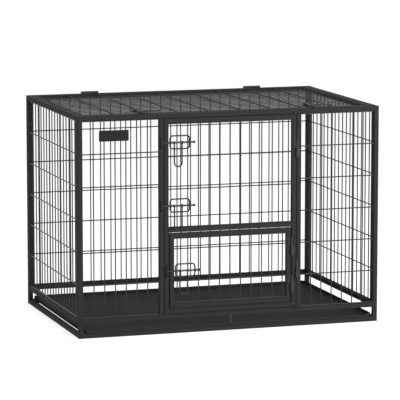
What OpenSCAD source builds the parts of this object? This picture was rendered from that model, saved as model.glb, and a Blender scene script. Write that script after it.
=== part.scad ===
// Heavy duty dog crate: square tube panels filled with welded wire mesh.
// A main door with a small door inside it, a hinged lid and a tray that slides out at the front.
// X runs along the front, Y from the front to the back and Z up. The origin is on the floor,
// in the middle of the box that holds the crate and the hardware on its front.

/* [Crate] */
// Length along the front, over the tubes
length = 1070; // [900:10:1300]
// Depth from front to back, over the tubes
depth = 700; // [600:10:900]
// Height over the tubes
height = 750; // [700:10:1000]

/* [Square tube] */
// Outside width of the square tube
tube = 16; // [14:0.5:20]
// Wall thickness of the tube
tube_wall = 1.2; // [0.8:0.1:2]
// Outer corner radius of the tube
tube_r = 2; // [1:0.5:4]

/* [Wire mesh] */
// Diameter of the mesh wires
wire_d = 4; // [3:0.25:5]
// Distance between the close wires, centre to centre
bar_pitch = 37.65; // [30:0.05:50]
// Wanted distance between the cross wires, centre to centre
row_pitch = 110; // [80:1:160]
// How deep crossing wires are pressed into each other by the weld
weld_sink = 0.4; // [0.2:0.1:1]

/* [Doors and lid] */
// Clear width between the two door posts
doorway_w = 474; // [400:2:560]
// Gap around the main door and around the lid
door_gap = 1.5; // [1:0.5:4]
// Gap around the small door
small_gap = 3; // [2:0.5:5]
// Height of the main door's middle rail, underside above the floor
mid_rail_z = 346; // [300:2:400]

/* [Hinges] */
// Outside diameter of a hinge barrel
barrel_d = 9; // [8:0.5:12]
// Length of a hinge, both halves
hinge_l = 63; // [50:1:80]
// Diameter of the hinge pin
pin_d = 5; // [4:0.5:6]
// Gap around a turning or sliding pin, on the radius
pin_clear = 0.05; // [0.02:0.01:0.1]
// Thickness of a hinge leaf
leaf_t = 2; // [1.5:0.5:3]
// Width of a hinge leaf
leaf_w = 9; // [6:0.5:12]
// Closed end of a hinge bush, past the pin
bush_end = 4; // [2:0.5:8]
// Gap between the two halves of a hinge
half_gap = 0.3; // [0.2:0.1:1]
// Free length at the pin's end inside the bush
pin_end_gap = 1; // [0.5:0.5:3]
// Height of the main door's lower hinge over the door's lower edge
door_hinge_rise = 103; // [60:1:150]
// Distance of the main door's upper hinge under the door's upper edge
door_hinge_drop = 84; // [60:1:130]
// Distance of the small door's hinges from its upper and lower edges
small_hinge_end = 31.5; // [20:0.5:50]

/* [Latches] */
// Diameter of the bolt rod
rod_d = 6; // [5:0.5:8]
// Gap between a bolt rod and the tube behind it
rod_gap = 0.4; // [0.3:0.1:1]
// Travel from just clear of the staple to shot home
bolt_shot = 6; // [6:0.5:10]
// Gap between a drawn bolt's tip and the staple
tip_gap = 0.5; // [0.3:0.1:2]
// Length of the wire loop along the bolt
loop_l = 73; // [70:1:100]
// Width of the wire loop across the bolt
loop_w = 49; // [40:1:60]
// Wire diameter of loops and handles
loop_wire = 5; // [4:0.5:6]
// Bend radius of the loop's corners, on the wire's centre line
loop_bend = 10; // [6:0.5:14]
// Gap between the loop and the tube beside it
loop_gap = 3; // [2:0.5:6]
// Length of guide eyes and handle eyelets along the bolt
eye_l = 5; // [4:0.5:7]
// Outside diameter of a guide eye
eye_d = 11; // [10:0.5:14]
// Outside diameter of a handle eyelet
eyelet_d = 10; // [9:0.5:13]
// Reach of a handle from the bolt's axis
handle_l = 84; // [60:1:100]
// Width of a handle between its legs, centre to centre
handle_w = 27; // [24:0.5:34]
// Diameter of the knob at the bolt's end
knob_d = 9; // [8:0.5:12]
// Distance of the knob's middle past the loop
knob_reach = 12; // [12:0.5:20]
// Length of the collars that keep the handle in place
collar_l = 1.5; // [1:0.5:3]
// Outside diameter of the collars
collar_d = 9; // [8:0.5:12]
// Length of the bolt's tapered tip
tip_l = 1.5; // [1:0.5:3]
// Diameter at the end of the bolt's tapered tip
tip_d = 3.6; // [2:0.2:5]
// Wire diameter of the staples
staple_wire = 4; // [3:0.5:5]
// Width of a staple between its legs, centre to centre
staple_w = 30; // [20:1:40]
// Free height over a shot bolt inside the staple
staple_room = 2; // [1:0.5:4]
// Distance of the upper bolt under the main door's upper edge
upper_latch_drop = 81; // [60:1:110]
// Height of the middle bolt over the main door's middle rail
middle_latch_rise = 75; // [50:1:110]
// Height of the small door's bolt over the cross wire under it
small_latch_rise = 36; // [30:1:60]
// Gap between a loop and the cross wire beside it, at the least
loop_row_gap = 1.5; // [0.5:0.5:5]

/* [Tray] */
// Height of the slot between the base rail and the lower rail
slot_h = 34; // [30:1:50]
// Height of the tray's side and rear walls
tray_h = 11.5; // [9:0.5:20]
// Height of the tray's front lip
lip_h = 7; // [5:0.5:8]
// Wall thickness of the tray
tray_wall = 2; // [1.5:0.25:3]
// Corner radius of the tray
tray_r = 20; // [8:1:40]
// Gap between the tray and the posts beside it
tray_side_gap = 2.5; // [1:0.5:6]
// Distance of the tray's front and rear edges behind the outer faces
tray_inset = 5; // [2:1:20]
// Gap between the tray and the base rails under it
tray_lift = 0.3; // [0.1:0.1:1]

/* [Tray clip] */
// Width of the clip's tongue
clip_w = 8; // [6:0.5:12]
// Diameter of the clip's round head
clip_head = 15; // [13:0.5:16]
// Thickness of the clip
clip_t = 2; // [1.5:0.25:3]
// Gap on each side of the clip, and between its tip and the tray's lip
clip_gap = 0.4; // [0.2:0.1:1]
// Diameter of the clip screw's head
screw_head_d = 9; // [7:0.5:12]
// Height of the clip screw's head
screw_head_h = 2.5; // [1.5:0.5:4]
// Depth of the clip screw inside the rail
screw_l = 8; // [4:1:12]

/* [Label plate] */
// Width of the label plate
label_w = 103; // [60:1:140]
// Height of the label plate
label_h = 37; // [25:1:50]
// Thickness of the label plate
label_t = 2.5; // [1:0.5:4]
// Corner radius of the label plate
label_r = 3; // [1:0.5:10]
// Distance of the label plate's left edge from the crate's left face
label_x = 74; // [40:1:120]
// Distance of the label plate's upper edge under the top face
label_drop = 50; // [40:1:60]

/* [Panel bolts] */
// Diameter of the bolts that join the panels
bolt_d = 6; // [5:0.5:8]
// Gap around a panel bolt, on the radius
bolt_clear = 0.2; // [0.1:0.1:0.5]
// Width over the corners of a panel bolt's head
bolt_head_d = 11; // [9:0.5:14]
// Height of a panel bolt's head
bolt_head_h = 4; // [3:0.5:6]
// Reach of a panel bolt into the post
bolt_reach = 8; // [5:0.5:12]
// Distance of the panel bolts from the floor and from the top
bolt_end = 100; // [80:5:150]

/* [Hidden] */
$fn = 48;
steel = "#3b3d3f";
dark = "#2c2d2f";
over = 1;
least_r = 0.2;

// Heights of the frame
slot_top = tube + slot_h;
lower_top = slot_top + tube;
top_under = height - tube;

// How far the staples, the proudest hardware, stand out of the front
rod_h = rod_gap + rod_d / 2;
staple_h = rod_h + rod_d / 2 + staple_room + staple_wire;

// Planes of the frame, with the whole box centred on the origin
mid_y = staple_h / 2;
front_y = mid_y - depth / 2;
back_y = mid_y + depth / 2;
post_in = length / 2 - tube;
stile_in = depth / 2 - 2 * tube;
side_w = depth - 2 * tube;
door_post_in = doorway_w / 2;
door_post_out = door_post_in + tube;

// Main door, small door and lid, over their tubes
door_half = door_post_in - door_gap;
door_z0 = lower_top + door_gap;
door_z1 = top_under - door_gap;
door_in = door_half - tube;
small_half = door_in - small_gap;
small_z0 = door_z0 + tube + small_gap;
small_z1 = mid_rail_z - small_gap;
small_in = small_half - tube;
lid_half_x = post_in - door_gap;
lid_half_y = depth / 2 - tube - door_gap;
lid_in_x = lid_half_x - tube;
lid_in_y = lid_half_y - tube;

// Wire places: close wires on a fixed pitch about the middle, cross wires spread between borders
row_off = wire_d - weld_sink;
mesh_face = (tube - wire_d) / 2;
function bar_count(width) = round(width / bar_pitch) - 1;
function bars(count, middle = 0) =
    [for (i = [0 : count - 1]) middle + (i - (count - 1) / 2) * bar_pitch];
function rows(low, high) =
    let (n = round((high - low) / row_pitch))
    [for (k = [0 : n]) low + k * (high - low) / n];
frame_rows = rows(lower_top + wire_d / 2, top_under - wire_d / 2);
row_step = frame_rows[1] - frame_rows[0];
lid_rows = rows(wire_d / 2 - lid_in_x, lid_in_x - wire_d / 2);

// The small door's cross wires are the frame's, where they stay clear of its border wires
small_low = small_z0 + tube;
small_high = small_z1 - tube;
row_room = 4 * wire_d;
small_rows = [for (z = frame_rows) if (z > small_low + row_room && z < small_high - row_room) z];

// Hinge sizes and places
barrel_r = barrel_d / 2;
half_l = hinge_l / 2;
pin_l = half_l - bush_end - pin_end_gap;
door_hinge_low = door_z0 + door_hinge_rise;
door_hinge_high = door_z1 - door_hinge_drop - hinge_l;
small_hinge_low = small_z0 + small_hinge_end;
small_hinge_high = small_z1 - small_hinge_end - hinge_l;

// Latch places along the bolt, measured back from the staple
tip_back = staple_wire / 2 + tip_gap;
function loop_near(gap) = tube / 2 + gap + tube + loop_gap;
collar_off = eye_l / 2 + pin_clear;
function leg_back(gap) = loop_near(gap) + eye_l + bolt_shot + tip_gap + collar_l + collar_off;
loop_z = loop_wire / 2 - mesh_face;

// Latch places on the doors and on the lid, where the bolts and the hinges stand beside the same cross wires
upper_latch_z = door_z1 - upper_latch_drop;
middle_latch_z = mid_rail_z + tube + middle_latch_rise;
small_latch_z = small_rows[0] + small_latch_rise;
lid_latch_x = lid_rows[len(lid_rows) - 3] + wire_d / 2 + loop_row_gap + loop_w / 2;
lid_hinge_x = lid_latch_x;

// Tray
tray_z = tube + tray_lift;
tray_size = [2 * (post_in - tray_side_gap), depth - 2 * tray_inset, tray_h];

// Tray clip
clip_z = slot_top + tube / 2;
clip_drop = clip_z - tray_z - lip_h - clip_gap;

// Shared shapes

// Section of the square tube, about its middle
module tube_section() {
    hollow = tube - 2 * tube_wall;
    difference() {
        round_rect(tube, tube, tube_r);
        round_rect(hollow, hollow, max(tube_r - tube_wall, least_r));
    }
}

// Square tube of a given length along axis 0, 1 or 2, from its corner
module tube_along(axis, len) {
    turn = [[0, 90, 0], [-90, 0, 0], [0, 0, 0]];
    translate([for (i = [0 : 2]) i == axis ? 0 : tube / 2]) rotate(turn[axis])
        linear_extrude(len) tube_section();
}

// Square tube along X with both ends cut at 45 degrees: the long edge is y = 0, the short one y = tube
module mitred_tube(len) {
    past = tube + over;
    difference() {
        tube_along(0, len);
        translate([0, 0, -over]) linear_extrude(tube + 2 * over) {
            polygon([[-over, -over], [past, past], [-over, past]]);
            polygon([[len + over, -over], [len + over, past], [len - past, past]]);
        }
    }
}

// Frame of mitred tubes, w wide and h high, lying in XY about the middle of its lower edge
module frame_rails(w, h) {
    translate([-w / 2, 0, 0]) mitred_tube(w);
    translate([w / 2, h, 0]) rotate([0, 0, 180]) mitred_tube(w);
}

module frame_uprights(w, h) {
    translate([-w / 2, h, 0]) rotate([0, 0, -90]) mitred_tube(h);
    translate([w / 2, 0, 0]) rotate([0, 0, 90]) mitred_tube(h);
}

// Puts a lying frame upright in the front's plane, its lower edge at height z
module stand_front(z) {
    translate([0, front_y + tube, z]) rotate([90, 0, 0]) children();
}

// Level tube along X between two uprights
module rail_between(half, y, z) {
    translate([-half, y, z]) tube_along(0, 2 * half);
}

// Welded mesh standing in XZ: close wires along Z, cross wires along X on the -Y side
module wire_mesh(bar_list, bar_ends, row_list, row_ends) {
    union() {
        for (x = bar_list)
            translate([x, 0, bar_ends[0]]) cylinder(d = wire_d, h = bar_ends[1] - bar_ends[0]);
        for (z = row_list)
            translate([row_ends[0], -row_off, z]) rotate([0, 90, 0])
                cylinder(d = wire_d, h = row_ends[1] - row_ends[0]);
    }
}

// Rectangle with round corners, about its middle
module round_rect(w, d, r) {
    square([w - 2 * r, d], center = true);
    square([w, d - 2 * r], center = true);
    for (x = [-1, 1], y = [-1, 1]) translate([x * (w / 2 - r), y * (d / 2 - r)]) circle(r);
}

// Quarter bend of a round wire
module wire_bend(r, d) {
    rotate_extrude(angle = 90) translate([r, 0]) circle(d = d);
}

// Closed ring of round wire in XY, about its middle, outside size l by w
module wire_ring(l, w, r, d) {
    hx = (l - d) / 2;
    hy = (w - d) / 2;
    for (s = [-1, 1]) {
        translate([r - hx, s * hy, 0]) rotate([0, 90, 0]) cylinder(d = d, h = 2 * (hx - r));
        translate([s * hx, r - hy, 0]) rotate([-90, 0, 0]) cylinder(d = d, h = 2 * (hy - r));
    }
    for (i = [0 : 3])
        translate([(i == 0 || i == 3 ? 1 : -1) * (hx - r), (i < 2 ? 1 : -1) * (hy - r), 0])
            rotate([0, 0, 90 * i]) wire_bend(r, d);
}

// U of round wire in XY: legs w apart, closed at y = l over the wire
module wire_u(l, w, r, d) {
    reach = l - d / 2;
    for (s = [-1, 1]) translate([s * w / 2, 0, 0]) rotate([-90, 0, 0]) cylinder(d = d, h = reach - r);
    for (i = [0, 1])
        translate([(i == 0 ? 1 : -1) * (w / 2 - r), reach - r, 0]) rotate([0, 0, 90 * i]) wire_bend(r, d);
    if (w / 2 > r) translate([r - w / 2, reach, 0]) rotate([0, 90, 0]) cylinder(d = d, h = w - 2 * r);
}

// Hinges stand along Z. The tubes' faces lie at y = barrel_r, the fixed side is at +x.
module hinge_leaf(gap, z0, z1) {
    translate([gap / 2, barrel_r - leaf_t, z0]) cube([leaf_w, leaf_t, z1 - z0]);
}

module hinge_pin_half(gap) {
    cylinder(d = barrel_d, h = half_l);
    cylinder(d = pin_d, h = half_l + pin_l);
    hinge_leaf(gap, 0, half_l);
}

module hinge_bush_half(gap) {
    z0 = half_l + half_gap;
    difference() {
        union() {
            translate([0, 0, z0]) cylinder(d = barrel_d, h = hinge_l - z0);
            mirror([1, 0, 0]) hinge_leaf(gap, z0, hinge_l);
        }
        cylinder(d = pin_d + 2 * pin_clear, h = half_l + pin_l + pin_end_gap);
    }
}

// Latches lie along X and shoot towards +x. The panel's face is z = 0, the handle hangs to +y
// and the staple's middle is at x = 0.
module latch_loop(gap) {
    near = loop_near(gap);
    difference() {
        union() {
            translate([-near - loop_l / 2, 0, loop_z]) wire_ring(loop_l, loop_w, loop_bend, loop_wire);
            for (x = [near + eye_l, near + loop_l])
                translate([-x, 0, rod_h]) rotate([0, 90, 0]) cylinder(d = eye_d, h = eye_l);
        }
        translate([-near - loop_l - over, 0, rod_h]) rotate([0, 90, 0])
            cylinder(d = rod_d + 2 * pin_clear, h = loop_l + 2 * over);
    }
}

module latch_bolt(gap) {
    tail = loop_near(gap) + loop_l + knob_reach;
    leg = leg_back(gap);
    translate([0, 0, rod_h]) {
        translate([-tail, 0, 0]) rotate([0, 90, 0]) cylinder(d = rod_d, h = tail - tip_back - tip_l);
        translate([-tip_back - tip_l, 0, 0]) rotate([0, 90, 0]) cylinder(d1 = rod_d, d2 = tip_d, h = tip_l);
        translate([-tail, 0, 0]) sphere(d = knob_d);
        for (x = [-leg + collar_off, -leg - handle_w - collar_off - collar_l])
            translate([x, 0, 0]) rotate([0, 90, 0]) cylinder(d = collar_d, h = collar_l);
    }
}

module latch_handle(gap) {
    leg = leg_back(gap);
    translate([-leg - handle_w / 2, 0, rod_h]) difference() {
        union() {
            wire_u(handle_l, handle_w, handle_w / 2, loop_wire);
            for (s = [-1, 1]) translate([(s * handle_w - eye_l) / 2, 0, 0]) rotate([0, 90, 0])
                cylinder(d = eyelet_d, h = eye_l);
        }
        translate([-handle_w, 0, 0]) rotate([0, 90, 0])
            cylinder(d = rod_d + 2 * pin_clear, h = 2 * handle_w);
    }
}

module latch_staple() {
    rotate([90, 0, 90]) wire_u(staple_h, staple_w, staple_wire, staple_wire);
}

// Places of the latches and hinges on the crate
module on_front(x, z) {
    translate([x, front_y, z]) rotate([-90, 0, 180]) children();
}

module on_lid(x) {
    translate([x, front_y + tube / 2, height]) rotate([0, 0, -90]) children();
}

module at_door_latch(z) {
    on_front(-door_post_in - tube / 2, z) children();
}

module at_small_latch() {
    on_front(-door_in - tube / 2, small_latch_z) children();
}

module at_door_hinges() {
    for (z = [door_hinge_low, door_hinge_high])
        translate([door_post_in - door_gap / 2, front_y - barrel_r, z]) children();
}

module at_small_hinges() {
    for (z = [small_hinge_low, small_hinge_high])
        translate([door_in - small_gap / 2, front_y - barrel_r, z]) children();
}

module at_lid_hinges() {
    for (x = [-lid_hinge_x, lid_hinge_x])
        translate([x + half_l, back_y - tube - door_gap / 2, height + barrel_r])
            rotate([-90, 0, 90]) children();
}

// The panel bolts' shanks, from a lead before each side panel's stile through it into the post
module panel_bolt_shanks(d, lead) {
    for (x = [-1, 1], z = [bolt_end, height - bolt_end], s = [-1, 1])
        translate([x * (post_in + tube / 2), mid_y + s * (stile_in - lead), z])
            rotate([-90 * s, 0, 0]) cylinder(d = d, h = lead + tube + bolt_reach);
}

module panel_bolt_holes() {
    panel_bolt_shanks(bolt_d + 2 * bolt_clear, over);
}

module panel_bolt_heads() {
    for (x = [-1, 1], z = [bolt_end, height - bolt_end], s = [-1, 1])
        translate([x * (post_in + tube / 2), mid_y + s * stile_in, z])
            rotate([90 * s, 0, 0]) cylinder(d = bolt_head_d, h = bolt_head_h, $fn = 6);
}

// Side panels, drawn on the left and mirrored to the right: a frame over the slot and a base rail
module stand_left(z) {
    translate([-length / 2, mid_y, z]) rotate([90, 0, 90]) children();
}

module side_stiles() {
    difference() {
        stand_left(slot_top) frame_uprights(side_w, height - slot_top);
        panel_bolt_holes();
    }
}

module side_rails() {
    stand_left(slot_top) frame_rails(side_w, height - slot_top);
    translate([-length / 2, mid_y - side_w / 2, 0]) tube_along(1, side_w);
}

module side_mesh() {
    translate([-(length - tube) / 2, mid_y, 0]) rotate([0, 0, -90])
        wire_mesh(bars(bar_count(2 * stile_in)), [lower_top, top_under],
            frame_rows, [-stile_in, stile_in]);
}

// Front panel
module front_corner_posts() {
    color(steel) difference() {
        stand_front(0) frame_uprights(length, height);
        panel_bolt_holes();
    }
}

module front_door_posts() {
    color(steel) for (x = [-door_post_out, door_post_in])
        translate([x, front_y, lower_top]) tube_along(2, top_under - lower_top);
}

module front_rails() {
    color(steel) difference() {
        union() {
            stand_front(0) frame_rails(length, height);
            rail_between(post_in, front_y, slot_top);
        }
        translate([0, front_y - over, clip_z]) rotate([-90, 0, 0])
            cylinder(d = pin_d + 2 * bolt_clear, h = tube / 2);
    }
}

module front_mesh() {
    field = post_in - door_post_out;
    color(dark) for (s = [-1, 1])
        translate([0, front_y + tube / 2, 0])
            wire_mesh(bars(bar_count(field), s * (post_in + door_post_out) / 2), [lower_top, top_under],
                frame_rows, s < 0 ? [-post_in, -door_post_out] : [door_post_out, post_in]);
}

// Rear panel
module stand_rear() {
    translate([0, back_y, 0]) rotate([90, 0, 0]) children();
}

module rear_corner_posts() {
    color(steel) difference() {
        stand_rear() frame_uprights(length, height);
        panel_bolt_holes();
    }
}

module rear_rails() {
    color(steel) {
        stand_rear() frame_rails(length, height);
        rail_between(post_in, back_y - tube, slot_top);
    }
}

module rear_mesh() {
    color(dark) translate([0, back_y - tube / 2, 0]) rotate([0, 0, 180])
        wire_mesh(bars(bar_count(2 * post_in)), [lower_top, top_under], frame_rows, [-post_in, post_in]);
}

// Side panels
module left_stiles() { color(steel) side_stiles(); }
module left_rails() { color(steel) side_rails(); }
module left_mesh() { color(dark) side_mesh(); }
module right_stiles() { color(steel) mirror([1, 0, 0]) side_stiles(); }
module right_rails() { color(steel) mirror([1, 0, 0]) side_rails(); }
module right_mesh() { color(dark) mirror([1, 0, 0]) side_mesh(); }

// Panel bolts and label
module panel_bolts() {
    color(dark) {
        panel_bolt_shanks(bolt_d, 0);
        panel_bolt_heads();
    }
}

module label_plate() {
    color(dark)
        translate([label_x + (label_w - length) / 2, front_y + mesh_face, height - label_drop - label_h / 2])
            rotate([90, 0, 0]) linear_extrude(label_t) round_rect(label_w, label_h, label_r);
}

// Main door
module door_stiles() {
    color(steel) stand_front(door_z0) frame_uprights(2 * door_half, door_z1 - door_z0);
}

module door_rails() {
    color(steel) {
        stand_front(door_z0) frame_rails(2 * door_half, door_z1 - door_z0);
        rail_between(door_in, front_y, mid_rail_z);
    }
}

module door_mesh() {
    low = mid_rail_z + tube;
    high = door_z1 - tube;
    top_row = high - wire_d / 2;
    loop_top = middle_latch_z + loop_w / 2 + loop_row_gap + wire_d / 2;
    fit = floor((top_row - loop_top) / row_step);
    middle_rows = [for (k = [1 : fit]) top_row - k * row_step];
    color(dark) translate([0, front_y + tube / 2, 0])
        wire_mesh(bars(bar_count(2 * door_in)), [low, high],
            concat([low + wire_d / 2], middle_rows, [top_row]), [-door_in, door_in]);
}

module door_hinge_pins() {
    color(steel) at_door_hinges() hinge_pin_half(door_gap);
}

module door_hinge_bushes() {
    color(steel) at_door_hinges() hinge_bush_half(door_gap);
}

module door_latch_loops() {
    color(dark) for (z = [upper_latch_z, middle_latch_z]) at_door_latch(z) latch_loop(door_gap);
}

module door_keepers() {
    color(dark) for (z = [upper_latch_z, middle_latch_z]) at_door_latch(z) latch_staple();
}

// Small door
module small_door_stiles() {
    color(steel) stand_front(small_z0) frame_uprights(2 * small_half, small_z1 - small_z0);
}

module small_door_rails() {
    color(steel) stand_front(small_z0) frame_rails(2 * small_half, small_z1 - small_z0);
}

module small_door_mesh() {
    bar_list = [for (x = bars(bar_count(2 * door_in))) if (abs(x) < small_in - wire_d) x];
    color(dark) translate([0, front_y + tube / 2, 0])
        wire_mesh(bar_list, [small_low, small_high],
            concat([small_low + wire_d / 2], small_rows, [small_high - wire_d / 2]), [-small_in, small_in]);
}

module small_hinge_pins() {
    color(steel) at_small_hinges() hinge_pin_half(small_gap);
}

module small_hinge_bushes() {
    color(steel) at_small_hinges() hinge_bush_half(small_gap);
}

module small_latch_loop() {
    color(dark) at_small_latch() latch_loop(small_gap);
}

module small_keeper() {
    color(dark) at_small_latch() latch_staple();
}

// Lid
module lid_side_tubes() {
    color(steel) translate([0, mid_y - lid_half_y, top_under])
        frame_uprights(2 * lid_half_x, 2 * lid_half_y);
}

module lid_rails() {
    color(steel) translate([0, mid_y - lid_half_y, top_under])
        frame_rails(2 * lid_half_x, 2 * lid_half_y);
}

module lid_mesh() {
    color(dark) translate([0, mid_y, height - tube / 2]) rotate([-90, 0, 90])
        wire_mesh(bars(bar_count(2 * lid_in_y)), [-lid_in_x, lid_in_x], lid_rows, [-lid_in_y, lid_in_y]);
}

module lid_hinge_pins() {
    color(steel) at_lid_hinges() hinge_pin_half(door_gap);
}

module lid_hinge_bushes() {
    color(steel) at_lid_hinges() hinge_bush_half(door_gap);
}

module lid_latch_loops() {
    color(dark) for (x = [-lid_latch_x, lid_latch_x]) on_lid(x) latch_loop(door_gap);
}

module lid_keepers() {
    color(dark) for (x = [-lid_latch_x, lid_latch_x]) on_lid(x) latch_staple();
}

// Bolts and handles
module upper_bolt() { color(dark) at_door_latch(upper_latch_z) latch_bolt(door_gap); }
module upper_handle() { color(dark) at_door_latch(upper_latch_z) latch_handle(door_gap); }
module middle_bolt() { color(dark) at_door_latch(middle_latch_z) latch_bolt(door_gap); }
module middle_handle() { color(dark) at_door_latch(middle_latch_z) latch_handle(door_gap); }
module small_bolt() { color(dark) at_small_latch() latch_bolt(small_gap); }
module small_handle() { color(dark) at_small_latch() latch_handle(small_gap); }
module left_lid_bolt() { color(dark) on_lid(-lid_latch_x) latch_bolt(door_gap); }
module left_lid_handle() { color(dark) on_lid(-lid_latch_x) latch_handle(door_gap); }
module right_lid_bolt() { color(dark) on_lid(lid_latch_x) latch_bolt(door_gap); }
module right_lid_handle() { color(dark) on_lid(lid_latch_x) latch_handle(door_gap); }

// Tray with a low front lip
module tray() {
    inner = [tray_size[0] - 2 * tray_wall, tray_size[1] - 2 * tray_wall];
    color("#454749") translate([0, mid_y, tray_z]) difference() {
        linear_extrude(tray_h) round_rect(tray_size[0], tray_size[1], tray_r);
        translate([0, 0, tray_wall]) linear_extrude(tray_h)
            round_rect(inner[0], inner[1], tray_r - tray_wall);
        translate([tray_r - tray_size[0] / 2, -tray_size[1] / 2 - over, lip_h])
            cube([tray_size[0] - 2 * tray_r, tray_wall + 2 * over, tray_h]);
    }
}

// Clip that turns on a screw in the lower front rail
module tray_clip() {
    color(dark) translate([0, front_y - clip_gap, clip_z]) rotate([90, 0, 0]) linear_extrude(clip_t)
        difference() {
            union() {
                circle(d = clip_head);
                translate([-clip_w / 2, clip_w / 2 - clip_drop]) square([clip_w, clip_drop]);
                translate([0, clip_w / 2 - clip_drop]) circle(d = clip_w);
            }
            circle(d = pin_d + 2 * pin_clear);
        }
}

module clip_screw() {
    head_y = clip_gap + clip_t + clip_gap;
    color(steel) translate([0, front_y, clip_z]) rotate([90, 0, 0]) {
        translate([0, 0, -screw_l]) cylinder(d = pin_d, h = screw_l + head_y);
        translate([0, 0, head_y]) cylinder(d = screw_head_d, h = screw_head_h);
    }
}

front_corner_posts();
front_door_posts();
front_rails();
front_mesh();
rear_corner_posts();
rear_rails();
rear_mesh();
left_stiles();
left_rails();
left_mesh();
right_stiles();
right_rails();
right_mesh();
panel_bolts();
label_plate();
door_stiles();
door_rails();
door_mesh();
door_hinge_pins();
door_hinge_bushes();
door_latch_loops();
door_keepers();
small_door_stiles();
small_door_rails();
small_door_mesh();
small_hinge_pins();
small_hinge_bushes();
small_latch_loop();
small_keeper();
lid_side_tubes();
lid_rails();
lid_mesh();
lid_hinge_pins();
lid_hinge_bushes();
lid_latch_loops();
lid_keepers();
upper_bolt();
upper_handle();
middle_bolt();
middle_handle();
small_bolt();
small_handle();
left_lid_bolt();
left_lid_handle();
right_lid_bolt();
right_lid_handle();
tray();
tray_clip();
clip_screw();
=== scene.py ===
"""Heavy duty dog crate: paint, plastic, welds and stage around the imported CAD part."""

import math

import bmesh
import bpy
from bpy.props import FloatProperty, FloatVectorProperty, PointerProperty
from mathutils import Matrix, Vector


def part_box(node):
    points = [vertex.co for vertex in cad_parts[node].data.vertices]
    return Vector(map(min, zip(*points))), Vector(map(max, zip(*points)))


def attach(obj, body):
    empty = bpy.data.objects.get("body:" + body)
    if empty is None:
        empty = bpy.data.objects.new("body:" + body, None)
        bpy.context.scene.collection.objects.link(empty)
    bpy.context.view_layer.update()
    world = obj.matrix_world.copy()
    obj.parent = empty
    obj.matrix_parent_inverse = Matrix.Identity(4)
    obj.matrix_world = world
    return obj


bl_info = {
    "name": "Dog Crate Looks",
    "version": (1, 0, 0),
    "blender": (4, 5, 0),
    "location": "View3D > Sidebar > Crate",
    "description": "Finishes, weld beads and stage for a heavy duty dog crate",
    "category": "Object",
}

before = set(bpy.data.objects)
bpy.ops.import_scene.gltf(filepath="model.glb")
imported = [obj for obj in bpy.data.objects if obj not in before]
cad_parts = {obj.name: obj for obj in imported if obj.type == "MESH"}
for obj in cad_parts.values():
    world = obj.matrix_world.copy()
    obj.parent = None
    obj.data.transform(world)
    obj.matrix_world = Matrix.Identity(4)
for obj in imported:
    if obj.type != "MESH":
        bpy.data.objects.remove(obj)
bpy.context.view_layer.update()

TUBES = [
    "front_corner_posts", "front_door_posts", "front_rails",
    "rear_corner_posts", "rear_rails",
    "left_stiles", "left_rails", "right_stiles", "right_rails",
    "door_stiles", "door_rails", "small_door_stiles", "small_door_rails",
    "lid_side_tubes", "lid_rails",
]
HINGES = [
    "door_hinge_pins", "door_hinge_bushes", "small_hinge_pins", "small_hinge_bushes",
    "lid_hinge_pins", "lid_hinge_bushes",
]
WIRES = [
    "front_mesh", "rear_mesh", "left_mesh", "right_mesh",
    "door_mesh", "small_door_mesh",
    "door_latch_loops", "door_keepers", "small_latch_loop", "small_keeper",
    "lid_latch_loops", "lid_keepers", "tray_clip",
]
LID_WIRES = ["lid_mesh"]
BOLTS = [
    piece
    for place in ("upper", "middle", "small", "left_lid", "right_lid")
    for piece in (place + "_bolt", place + "_handle")
]
SCREWS = ["panel_bolts", "clip_screw"]

# The front panel's outer face and the crate's top face
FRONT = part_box("front_rails")[0][1]
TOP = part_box("lid_rails")[1][2]
X, Y, Z = 0, 1, 2

# Strength of the mirror reflection of each finish
TUBE_GLOSS = 0.04
HINGE_GLOSS = 0.2
WIRE_GLOSS = 0.33
LID_GLOSS = 0.14
TRAY_GLOSS = 0.02
PLAIN_GLOSS = 0.1
FLOOR_GLOSS = 0.0

# Grained coat: detail of the dimples and their depth as a share of their size, then scale, detail and range of
# the mottling, and spread of the roughness
DIMPLE_DETAIL = 2.0
DIMPLE_DEPTH = 0.25
MOTTLE_SCALE = 14.0
MOTTLE_DETAIL = 4.0
MOTTLE_RANGE = (0.88, 1.12)
ROUGHNESS_RANGE = (-0.05, 0.05)

# Screws: share of metal in the plating, and the clip screw's cross recess, a thin near-black cross of painted shade
# in place of the hollow, its arms as a share of its width
PLATING_METAL = 0.35
RECESS_SHADE_COLOR = (0.008, 0.008, 0.008)
RECESS_ROUGHNESS = 0.7
RECESS_DEPTH = 0.0003
RECESS_ARM = 0.2

# Clearances and wires that the welds are placed by, and the bars that hold the loops, counted from the middle
HINGE_PLAY = 0.0003
SMALL_GAP = 0.003
STAPLE_WIRE = 0.004
LOOP_DEPTH = 0.006
LOOP_HALF = 0.022
BAR_PITCH = 0.03765
DOOR_LOOP_BAR = -5
SMALL_LOOP_BAR = -4
LID_LOOP_BAR = -7.5

# Shape of a bead, a collar round a staple's foot and a nugget between wires, waist and rim as shares of a width
BEAD_SIDES = 10
BEAD_WAIST = 0.78
COLLAR_SIDES = 20
COLLAR_RIM = 1 / 12
NUGGET_SUBDIVISIONS = 2

# Stage: white, the floor's grey, the camera's film and reach, the lamps (size and place) and what they aim at
WHITE = (1.0, 1.0, 1.0, 1.0)
FLOOR_COLOR = (0.8, 0.8, 0.8)
FLOOR_ROUGHNESS = 1.0
FILM_WIDTH = 36.0
CAMERA_REACH = 50.0
KEY_LAMP = (2.4, (1.9, -4.7, 1.5))
TOP_LAMP = (3.0, (0.2, -0.6, 4.2))
LAMP_AIM = Vector((0.0, 0.0, 0.35))


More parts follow.
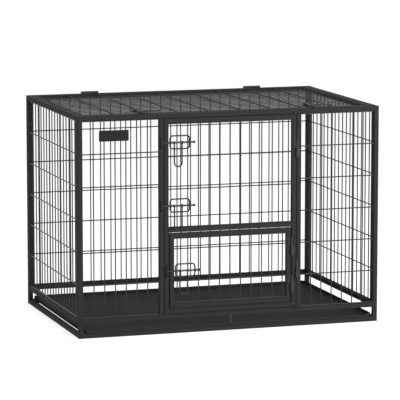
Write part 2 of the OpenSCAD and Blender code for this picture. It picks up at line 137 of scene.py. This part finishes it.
class CratePaint(bpy.types.PropertyGroup):
    """Paint of the square tubes and hinges."""

    color: FloatVectorProperty(
        name="Colour", description="Colour of the paint on the tubes", subtype="COLOR",
        size=3, default=(0.034, 0.0345, 0.036), min=0, max=1)
    roughness: FloatProperty(
        name="Roughness", description="Roughness of the paint", subtype="FACTOR", default=0.62, min=0, max=1)
    hinges: FloatProperty(
        name="Hinge roughness", description="Roughness of the hinges, rubbed smoother than the tubes",
        subtype="FACTOR", default=0.34, min=0, max=1)
    grain: FloatProperty(
        name="Grain", description="Size of the dimples in the paint", unit="LENGTH",
        default=0.0022, min=0.0005, max=0.01)
    relief: FloatProperty(
        name="Relief", description="Strength of the dimples", subtype="FACTOR", default=0.18, min=0, max=1)


class CrateWire(bpy.types.PropertyGroup):
    """Paint of the mesh wires, bolts and handles, with a lighter copy on the lid's wires as painted sheen."""

    color: FloatVectorProperty(
        name="Colour", description="Colour of the paint on the wires", subtype="COLOR",
        size=3, default=(0.010, 0.0103, 0.011), min=0, max=1)
    roughness: FloatProperty(
        name="Roughness", description="Roughness of the paint", subtype="FACTOR", default=0.34, min=0, max=1)
    # The lid's wires get the wire paint about six times lighter: painted sheen for the highlights that the wires
    # catch from above.
    lid_painted_sheen_color: FloatVectorProperty(
        name="Lid colour with painted sheen", description="Colour of the lid's wires, lightened as painted sheen", subtype="COLOR",
        size=3, default=(0.060, 0.0605, 0.062), min=0, max=1)
    lid_roughness: FloatProperty(
        name="Lid roughness", description="Roughness of the paint on the lid's wires", subtype="FACTOR",
        default=0.7, min=0, max=1)
    grain: FloatProperty(
        name="Grain", description="Size of the dimples in the paint", unit="LENGTH",
        default=0.0016, min=0.0005, max=0.01)
    relief: FloatProperty(
        name="Relief", description="Strength of the dimples", subtype="FACTOR", default=0.10, min=0, max=1)


class CrateTray(bpy.types.PropertyGroup):
    """Plastic of the tray."""

    color: FloatVectorProperty(
        name="Colour", description="Colour of the tray", subtype="COLOR",
        size=3, default=(0.038, 0.038, 0.039), min=0, max=1)
    roughness: FloatProperty(
        name="Roughness", description="Roughness of the tray", subtype="FACTOR", default=0.66, min=0, max=1)
    grain: FloatProperty(
        name="Grain", description="Size of the tray's moulded grain", unit="LENGTH",
        default=0.0012, min=0.0003, max=0.01)
    relief: FloatProperty(
        name="Relief", description="Strength of the moulded grain", subtype="FACTOR", default=0.12, min=0, max=1)


class CrateLabel(bpy.types.PropertyGroup):
    """Plastic of the label plate."""

    color: FloatVectorProperty(
        name="Colour", description="Colour of the label plate", subtype="COLOR",
        size=3, default=(0.009, 0.009, 0.0095), min=0, max=1)
    roughness: FloatProperty(
        name="Roughness", description="Roughness of the label plate", subtype="FACTOR", default=0.38, min=0, max=1)


class CrateScrews(bpy.types.PropertyGroup):
    """Black plated screws and bolts."""

    color: FloatVectorProperty(
        name="Colour", description="Colour of the plating", subtype="COLOR",
        size=3, default=(0.030, 0.030, 0.032), min=0, max=1)
    roughness: FloatProperty(
        name="Roughness", description="Roughness of the plating", subtype="FACTOR", default=0.34, min=0, max=1)
    recess: FloatProperty(
        name="Recess", description="Width of the cross recess in the clip screw", unit="LENGTH",
        default=0.005, min=0.002, max=0.008)


class CrateWelds(bpy.types.PropertyGroup):
    """Weld beads at butting tubes, hinge leaves, staples and wire loops."""

    bead: FloatProperty(
        name="Bead", description="Width of a weld bead", unit="LENGTH", default=0.0024, min=0.001, max=0.004)
    ripple: FloatProperty(
        name="Ripple", description="Distance between the ripples of a bead", unit="LENGTH",
        default=0.0014, min=0.0008, max=0.004)
    nugget: FloatProperty(
        name="Nugget", description="Width of the weld between two crossing wires", unit="LENGTH",
        default=0.0042, min=0.002, max=0.006)


class CrateStage(bpy.types.PropertyGroup):
    """Camera and light."""

    place: FloatVectorProperty(
        name="Camera", description="Place of the camera", subtype="TRANSLATION", size=3,
        default=(-2.907, -9.1038, 1.799))
    yaw: FloatProperty(
        name="Yaw", description="Turn of the camera to the right", subtype="ANGLE", default=math.radians(17.71))
    pitch: FloatProperty(
        name="Pitch", description="Tilt of the camera downwards", subtype="ANGLE", default=math.radians(8.33))
    lens: FloatProperty(
        name="Lens", description="Focal length", unit="CAMERA", default=247.9, min=20, max=500)
    fill: FloatProperty(
        name="Fill", description="Strength of the light from all around", default=0.33, min=0, max=3)
    key: FloatProperty(
        name="Key", description="Power of the large lamp at the front", unit="POWER", default=190, min=0, max=5000)
    top: FloatProperty(
        name="Top", description="Power of the large lamp above", unit="POWER", default=18, min=0, max=5000)
    floor: FloatProperty(
        name="Floor", description="Width of the pale floor", unit="LENGTH", default=8.0, min=2, max=20)
    glow: FloatProperty(
        name="Floor glow", description="Light that the floor adds for the camera, so that it reads as white",
        subtype="FACTOR", default=0.72, min=0, max=1)


class CrateSettings(bpy.types.PropertyGroup):
    """All settings of the crate's looks."""

    paint: PointerProperty(type=CratePaint)
    wire: PointerProperty(type=CrateWire)
    tray: PointerProperty(type=CrateTray)
    label: PointerProperty(type=CrateLabel)
    screws: PointerProperty(type=CrateScrews)
    welds: PointerProperty(type=CrateWelds)
    stage: PointerProperty(type=CrateStage)


def grained_coat():
    """Node group shared by paint and plastic: dimples, slight mottling and uneven gloss."""
    name = "Grained coat"
    if name in bpy.data.node_groups:
        return bpy.data.node_groups[name]
    group = bpy.data.node_groups.new(name, "ShaderNodeTree")
    for way, names in (("INPUT", ("Color", "Roughness", "Grain")), ("OUTPUT", ("Color", "Roughness", "Height"))):
        for socket in names:
            kind = "NodeSocketColor" if socket == "Color" else "NodeSocketFloat"
            group.interface.new_socket(socket, in_out=way, socket_type=kind)
    nodes, link = group.nodes, group.links.new
    given = nodes.new("NodeGroupInput")
    out = nodes.new("NodeGroupOutput")
    coord = nodes.new("ShaderNodeTexCoord")
    scale = nodes.new("ShaderNodeMath")
    scale.operation = "DIVIDE"
    scale.inputs[0].default_value = 1.0
    link(given.outputs["Grain"], scale.inputs[1])
    dimples = nodes.new("ShaderNodeTexNoise")
    dimples.inputs["Detail"].default_value = DIMPLE_DETAIL
    link(coord.outputs["Object"], dimples.inputs["Vector"])
    link(scale.outputs[0], dimples.inputs["Scale"])
    link(dimples.outputs["Fac"], out.inputs["Height"])
    mottle = nodes.new("ShaderNodeTexNoise")
    mottle.inputs["Scale"].default_value = MOTTLE_SCALE
    mottle.inputs["Detail"].default_value = MOTTLE_DETAIL
    link(coord.outputs["Object"], mottle.inputs["Vector"])
    shade = nodes.new("ShaderNodeMapRange")
    shade.inputs["To Min"].default_value, shade.inputs["To Max"].default_value = MOTTLE_RANGE
    link(mottle.outputs["Fac"], shade.inputs["Value"])
    tint = nodes.new("ShaderNodeVectorMath")
    tint.operation = "SCALE"
    link(given.outputs["Color"], tint.inputs[0])
    link(shade.outputs["Result"], tint.inputs["Scale"])
    link(tint.outputs["Vector"], out.inputs["Color"])
    spread = nodes.new("ShaderNodeMapRange")
    spread.inputs["To Min"].default_value, spread.inputs["To Max"].default_value = ROUGHNESS_RANGE
    link(dimples.outputs["Fac"], spread.inputs["Value"])
    rough = nodes.new("ShaderNodeMath")
    rough.operation = "ADD"
    rough.use_clamp = True
    link(given.outputs["Roughness"], rough.inputs[0])
    link(spread.outputs["Result"], rough.inputs[1])
    link(rough.outputs[0], out.inputs["Roughness"])
    return group


def new_material(name, gloss):
    """New material and its Principled shader."""
    mat = bpy.data.materials.new(name)
    mat.use_nodes = True
    bsdf = mat.node_tree.nodes["Principled BSDF"]
    bsdf.inputs["Specular IOR Level"].default_value = gloss
    return mat, bsdf


def coat_material(name, color, roughness, grain, relief, gloss):
    """Material fed by the shared coat group."""
    mat, bsdf = new_material(name, gloss)
    nodes, link = mat.node_tree.nodes, mat.node_tree.links.new
    coat = nodes.new("ShaderNodeGroup")
    coat.node_tree = grained_coat()
    coat.inputs["Color"].default_value = (*color, 1.0)
    coat.inputs["Roughness"].default_value = roughness
    coat.inputs["Grain"].default_value = grain
    bump = nodes.new("ShaderNodeBump")
    bump.inputs["Strength"].default_value = relief
    bump.inputs["Distance"].default_value = grain * DIMPLE_DEPTH
    link(coat.outputs["Color"], bsdf.inputs["Base Color"])
    link(coat.outputs["Roughness"], bsdf.inputs["Roughness"])
    link(coat.outputs["Height"], bump.inputs["Height"])
    link(bump.outputs["Normal"], bsdf.inputs["Normal"])
    return mat


def plain_material(name, color, roughness, metallic=0.0, gloss=PLAIN_GLOSS):
    """Material of one plain colour."""
    mat, bsdf = new_material(name, gloss)
    bsdf.inputs["Base Color"].default_value = (*color, 1.0)
    bsdf.inputs["Roughness"].default_value = roughness
    bsdf.inputs["Metallic"].default_value = metallic
    return mat


def low(node, axis):
    """Lower end of a node's box."""
    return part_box(node)[0][axis]


def high(node, axis):
    """Upper end of a node's box."""
    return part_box(node)[1][axis]


def middle(node, axis):
    """Middle of a node's box."""
    return (low(node, axis) + high(node, axis)) / 2


def paint_nodes(names, mat):
    """Gives CAD nodes a material."""
    for name in names:
        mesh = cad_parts[name].data
        mesh.materials.clear()
        mesh.materials.append(mat)


def new_object(name, bm, mat):
    """Makes an object of a finished bmesh."""
    mesh = bpy.data.meshes.new(name)
    bm.to_mesh(mesh)
    bm.free()
    mesh.materials.append(mat)
    obj = bpy.data.objects.new(name, mesh)
    bpy.context.scene.collection.objects.link(obj)
    return obj


def new_piece(name, bm, mat, body):
    """Makes a piece of a finished bmesh and lets it ride on a body."""
    obj = new_object(name, bm, mat)
    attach(obj, body)
    return obj


class CRATE_OT_tubes(bpy.types.Operator):
    """Paint the square tubes and the hinges"""

    bl_idname = "crate.tubes"
    bl_label = "Tubes and hinges"

    def execute(self, context):
        s = context.scene.crate.paint
        paint_nodes(TUBES, coat_material("Tube paint", s.color, s.roughness, s.grain, s.relief, TUBE_GLOSS))
        paint_nodes(HINGES, coat_material("Hinge paint", s.color, s.hinges, s.grain, s.relief, HINGE_GLOSS))
        return {"FINISHED"}


class CRATE_OT_wires(bpy.types.Operator):
    """Paint the mesh wires, bolts, handles and the tray clip, and the lid's wires in a lighter copy as painted
    sheen
    """

    bl_idname = "crate.wires"
    bl_label = "Wires and bolts"

    def execute(self, context):
        s = context.scene.crate.wire
        paint_nodes(WIRES + BOLTS, coat_material("Wire paint", s.color, s.roughness, s.grain, s.relief, WIRE_GLOSS))
        # The lid's wires take a lighter, rougher copy of the wire paint: painted sheen in place of their highlights
        # from above.
        paint_nodes(LID_WIRES, coat_material(
            "Lid wire paint with painted sheen", s.lid_painted_sheen_color, s.lid_roughness, s.grain, s.relief, LID_GLOSS))
        return {"FINISHED"}


class CRATE_OT_tray(bpy.types.Operator):
    """Give the tray its grained plastic"""

    bl_idname = "crate.tray"
    bl_label = "Tray"

    def execute(self, context):
        s = context.scene.crate.tray
        paint_nodes(["tray"], coat_material("Tray plastic", s.color, s.roughness, s.grain, s.relief, TRAY_GLOSS))
        return {"FINISHED"}


class CRATE_OT_label(bpy.types.Operator):
    """Give the bare label plate its plastic"""

    bl_idname = "crate.label"
    bl_label = "Label plate"

    def execute(self, context):
        s = context.scene.crate.label
        paint_nodes(["label_plate"], plain_material("Label plastic", s.color, s.roughness))
        return {"FINISHED"}


class CRATE_OT_fasteners(bpy.types.Operator):
    """Plate the screws and bolts, and add the clip screw's cross recess as a thin near-black cross of painted shade
    """

    bl_idname = "crate.fasteners"
    bl_label = "Screws and bolts"

    def execute(self, context):
        s = context.scene.crate.screws
        paint_nodes(SCREWS, plain_material("Black plating", s.color, s.roughness, PLATING_METAL))
        head = Matrix.Translation((middle("clip_screw", X), low("clip_screw", Y), middle("clip_screw", Z)))
        arm = s.recess * RECESS_ARM
        bm = bmesh.new()
        for size in ((s.recess, RECESS_DEPTH, arm), (arm, RECESS_DEPTH, s.recess)):
            bmesh.ops.create_cube(bm, size=1.0, matrix=head @ Matrix.Diagonal((*size, 1.0)))
        # The recess is a thin near-black cross laid on the head: painted shade where the real hollow would lie
        # dark.
        mat = plain_material("Recess", RECESS_SHADE_COLOR, RECESS_ROUGHNESS)
        new_piece("clip_screw_recess_painted_shade", bm, mat, "frame")
        return {"FINISHED"}


def hinge_splits(pins, bushes, axis):
    """Places along the axis where the two halves of each hinge meet, and the length of a half."""
    if low(pins, axis) < low(bushes, axis):
        half = low(bushes, axis) - low(pins, axis) - HINGE_PLAY
        return (low(pins, axis) + half, high(bushes, axis) - half), half
    half = high(pins, axis) - high(bushes, axis) - HINGE_PLAY
    return (low(bushes, axis) + half, high(pins, axis) - half), half


def hinge_beads(beads):
    """Beads along the outer edges of the hinge leaves."""
    for body, holder, pins, bushes in (
            ("door", "frame", "door_hinge_pins", "door_hinge_bushes"),
            ("small_door", "door", "small_hinge_pins", "small_hinge_bushes")):
        splits, half = hinge_splits(pins, bushes, Z)
        post, leaf = high(pins, X), low(bushes, X)
        for z in splits:
            beads[holder].append(((post, FRONT, z - half), (post, FRONT, z)))
            beads[body].append(((leaf, FRONT, z + HINGE_PLAY), (leaf, FRONT, z + half)))
    splits, half = hinge_splits("lid_hinge_pins", "lid_hinge_bushes", X)
    rail, leaf = high("lid_hinge_pins", Y), low("lid_hinge_bushes", Y)
    for x in splits:
        beads["frame"].append(((x, rail, TOP), (x + half, rail, TOP)))
        beads["lid"].append(((x - half, leaf, TOP), (x - HINGE_PLAY, leaf, TOP)))


def tube_beads(beads):
    """Beads where the door posts, the lower front rail and the door's middle rail butt."""
    tube = high("front_door_posts", Y) - FRONT
    posts = low("front_door_posts", Z), high("front_door_posts", Z)
    rail = high("small_door_stiles", Z) + SMALL_GAP
    for side in (-1, 1):
        outer = side * high("front_door_posts", X)
        inner = outer - side * tube
        for z in posts:
            beads["frame"].append(((inner, FRONT, z), (outer, FRONT, z)))
        corner = side * (high("front_rails", X) - tube)
        beads["frame"].append(((corner, FRONT, posts[0] - tube), (corner, FRONT, posts[0])))
        stile = side * (high("door_stiles", X) - tube)
        beads["door"].append(((stile, FRONT, rail), (stile, FRONT, rail + tube)))


def staple_feet():
    """Places by body where the staples stand on the tubes."""
    half = (high("small_keeper", Z) - low("small_keeper", Z) - STAPLE_WIRE) / 2
    ends = (-half, half)
    door_x, small_x, lid_y = middle("door_keepers", X), middle("small_keeper", X), middle("lid_keepers", Y)
    return {
        "frame": [
            (door_x, FRONT, middle(bolt, Z) + end) for bolt in ("upper_bolt", "middle_bolt") for end in ends
        ] + [
            (middle(bolt, X) + end, lid_y, TOP) for bolt in ("left_lid_bolt", "right_lid_bolt") for end in ends
        ],
        "door": [(small_x, FRONT, middle("small_bolt", Z) + end) for end in ends],
    }


def loop_crossings():
    """Places by body where a mesh wire crosses and holds a bolt's loop."""
    ends = (-LOOP_HALF, LOOP_HALF)
    lid_y = middle("lid_mesh", Y) + LID_LOOP_BAR * BAR_PITCH
    return {
        "door": [
            (DOOR_LOOP_BAR * BAR_PITCH, FRONT + LOOP_DEPTH, middle(bolt, Z) + end)
            for bolt in ("upper_bolt", "middle_bolt") for end in ends
        ],
        "small_door": [
            (SMALL_LOOP_BAR * BAR_PITCH, FRONT + LOOP_DEPTH, middle("small_bolt", Z) + end) for end in ends
        ],
        "lid": [
            (middle(bolt, X) + end, lid_y, TOP - LOOP_DEPTH)
            for bolt in ("left_lid_bolt", "right_lid_bolt") for end in ends
        ],
    }


def add_bead(bm, start, end, width, ripple):
    """Adds one closed bead between two points, thick and thin in turn along its length."""
    start, end = Vector(start), Vector(end)
    run = end - start
    steps = 2 * max(1, round(run.length / ripple))
    place = Matrix.Translation(start) @ run.to_track_quat("Z", "Y").to_matrix().to_4x4()
    disc = bmesh.ops.create_circle(
        bm, cap_ends=True, segments=BEAD_SIDES, radius=width / 2 * BEAD_WAIST, matrix=place)
    cap = disc["verts"][0].link_faces[0]
    for i in range(1, steps + 1):
        made = bmesh.ops.extrude_face_region(bm, geom=[cap])["geom"]
        if i > 1:
            bmesh.ops.delete(bm, geom=[cap], context="FACES_ONLY")
        cap = next(part for part in made if isinstance(part, bmesh.types.BMFace))
        bmesh.ops.translate(bm, verts=cap.verts, vec=run / steps)
        swell = 1 / BEAD_WAIST if i % 2 else BEAD_WAIST
        ring = Matrix.Translation(-(start + run * i / steps))
        bmesh.ops.scale(bm, verts=cap.verts, vec=(swell, swell, swell), space=ring)


def add_collar(bm, foot, width):
    """Adds a cone of weld round a staple's foot, wide where it meets the tube."""
    foot = Vector(foot)
    out = Vector((0.0, 0.0, 1.0)) if foot.z >= TOP else Vector((0.0, -1.0, 0.0))
    place = Matrix.Translation(foot + out * width / 2) @ out.to_track_quat("Z", "Y").to_matrix().to_4x4()
    wire = STAPLE_WIRE / 2
    bmesh.ops.create_cone(
        bm, cap_ends=True, segments=COLLAR_SIDES, radius1=wire + width / 2,
        radius2=wire + width * COLLAR_RIM, depth=width, matrix=place)


class CRATE_OT_welds(bpy.types.Operator):
    """Add the weld beads at butting tubes, hinge leaves, staples and wire loops"""

    bl_idname = "crate.welds"
    bl_label = "Weld beads"

    def execute(self, context):
        s = context.scene.crate.welds
        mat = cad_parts["door_rails"].data.materials[0]
        beads = {"frame": [], "door": [], "small_door": [], "lid": []}
        hinge_beads(beads)
        tube_beads(beads)
        feet, nuggets = staple_feet(), loop_crossings()
        for body, lines in beads.items():
            bm = bmesh.new()
            for start, end in lines:
                add_bead(bm, start, end, s.bead, s.ripple)
            for foot in feet.get(body, []):
                add_collar(bm, foot, s.bead)
            for place in nuggets.get(body, []):
                bmesh.ops.create_icosphere(
                    bm, subdivisions=NUGGET_SUBDIVISIONS, radius=s.nugget / 2, matrix=Matrix.Translation(place))
            bmesh.ops.recalc_face_normals(bm, faces=bm.faces)
            new_piece(body + "_welds", bm, mat, body)
        return {"FINISHED"}


def seen_directly(tree):
    """Mask that is 1 for camera rays, mirror rays and rays through glass."""
    nodes, link = tree.nodes, tree.links.new
    path = nodes.new("ShaderNodeLightPath")
    some = nodes.new("ShaderNodeMath")
    some.operation = "ADD"
    link(path.outputs["Is Camera Ray"], some.inputs[0])
    link(path.outputs["Is Glossy Ray"], some.inputs[1])
    every = nodes.new("ShaderNodeMath")
    every.operation = "ADD"
    every.use_clamp = True
    link(some.outputs[0], every.inputs[0])
    link(path.outputs["Is Transmission Ray"], every.inputs[1])
    return every.outputs[0]


def floor_material(glow):
    """Pale floor that reads as white and still takes the crate's shadow."""
    mat = plain_material("Pale floor", FLOOR_COLOR, FLOOR_ROUGHNESS, gloss=FLOOR_GLOSS)
    tree = mat.node_tree
    bsdf = tree.nodes["Principled BSDF"]
    bsdf.inputs["Emission Color"].default_value = WHITE
    share = tree.nodes.new("ShaderNodeMath")
    share.operation = "MULTIPLY"
    share.inputs[1].default_value = glow
    tree.links.new(seen_directly(tree), share.inputs[0])
    tree.links.new(share.outputs[0], bsdf.inputs["Emission Strength"])
    return mat


def white_world(fill):
    """World that lights evenly and shows white behind the crate."""
    world = bpy.data.worlds.new("White studio")
    world.use_nodes = True
    tree = world.node_tree
    nodes, link = tree.nodes, tree.links.new
    nodes.clear()
    out = nodes.new("ShaderNodeOutputWorld")
    mix = nodes.new("ShaderNodeMixShader")
    even = nodes.new("ShaderNodeBackground")
    even.inputs["Color"].default_value = WHITE
    even.inputs["Strength"].default_value = fill
    white = nodes.new("ShaderNodeBackground")
    white.inputs["Color"].default_value = WHITE
    link(seen_directly(tree), mix.inputs["Fac"])
    link(even.outputs[0], mix.inputs[1])
    link(white.outputs[0], mix.inputs[2])
    link(mix.outputs[0], out.inputs["Surface"])
    return world


class CRATE_OT_stage(bpy.types.Operator):
    """Set up the camera, the lamps and the white background"""

    bl_idname = "crate.stage"
    bl_label = "Stage"

    def execute(self, context):
        s = context.scene.crate.stage
        scene = context.scene
        scene.view_settings.view_transform = "Standard"
        camera = bpy.data.cameras.new("Camera")
        camera.lens = s.lens
        camera.sensor_width = FILM_WIDTH
        camera.clip_end = CAMERA_REACH
        holder = bpy.data.objects.new("Camera", camera)
        holder.location = s.place
        holder.rotation_euler = (math.pi / 2 - s.pitch, 0.0, -s.yaw)
        scene.collection.objects.link(holder)
        scene.camera = holder
        for name, power, (size, place) in (("Key lamp", s.key, KEY_LAMP), ("Top lamp", s.top, TOP_LAMP)):
            lamp = bpy.data.lights.new(name, "AREA")
            lamp.energy = power
            lamp.size = size
            obj = bpy.data.objects.new(name, lamp)
            obj.location = place
            obj.rotation_euler = (LAMP_AIM - Vector(place)).to_track_quat("-Z", "Y").to_euler()
            scene.collection.objects.link(obj)
        bm = bmesh.new()
        bmesh.ops.create_grid(bm, x_segments=1, y_segments=1, size=s.floor / 2)
        new_object("Floor", bm, floor_material(s.glow))
        scene.world = white_world(s.fill)
        return {"FINISHED"}


class CRATE_PT_panel(bpy.types.Panel):
    """Sidebar panel with the crate's settings and operators"""

    bl_idname = "CRATE_PT_panel"
    bl_label = "Dog Crate"
    bl_space_type = "VIEW_3D"
    bl_region_type = "UI"
    bl_category = "Crate"

    def draw(self, context):
        settings = context.scene.crate
        for operator, group in STEPS:
            box = self.layout.box()
            box.operator(operator.bl_idname)
            for name in getattr(settings, group).bl_rna.properties.keys():
                if name not in ("rna_type", "name"):
                    box.prop(getattr(settings, group), name)


STEPS = (
    (CRATE_OT_tubes, "paint"),
    (CRATE_OT_wires, "wire"),
    (CRATE_OT_tray, "tray"),
    (CRATE_OT_label, "label"),
    (CRATE_OT_fasteners, "screws"),
    (CRATE_OT_welds, "welds"),
    (CRATE_OT_stage, "stage"),
)
GROUPS = (CratePaint, CrateWire, CrateTray, CrateLabel, CrateScrews, CrateWelds, CrateStage, CrateSettings)


def register():
    """Registers the classes and hangs the settings on the scene."""
    for cls in GROUPS:
        bpy.utils.register_class(cls)
    for cls, _ in STEPS:
        bpy.utils.register_class(cls)
    bpy.utils.register_class(CRATE_PT_panel)
    bpy.types.Scene.crate = PointerProperty(type=CrateSettings)


def unregister():
    """Takes the settings and the classes away again."""
    del bpy.types.Scene.crate
    bpy.utils.unregister_class(CRATE_PT_panel)
    for cls, _ in reversed(STEPS):
        bpy.utils.unregister_class(cls)
    for cls in reversed(GROUPS):
        bpy.utils.unregister_class(cls)


def main():
    """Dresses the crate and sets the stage."""
    register()
    bpy.ops.crate.tubes()
    bpy.ops.crate.wires()
    bpy.ops.crate.tray()
    bpy.ops.crate.label()
    bpy.ops.crate.fasteners()
    bpy.ops.crate.welds()
    bpy.ops.crate.stage()


if __name__ == "__main__":
    main()
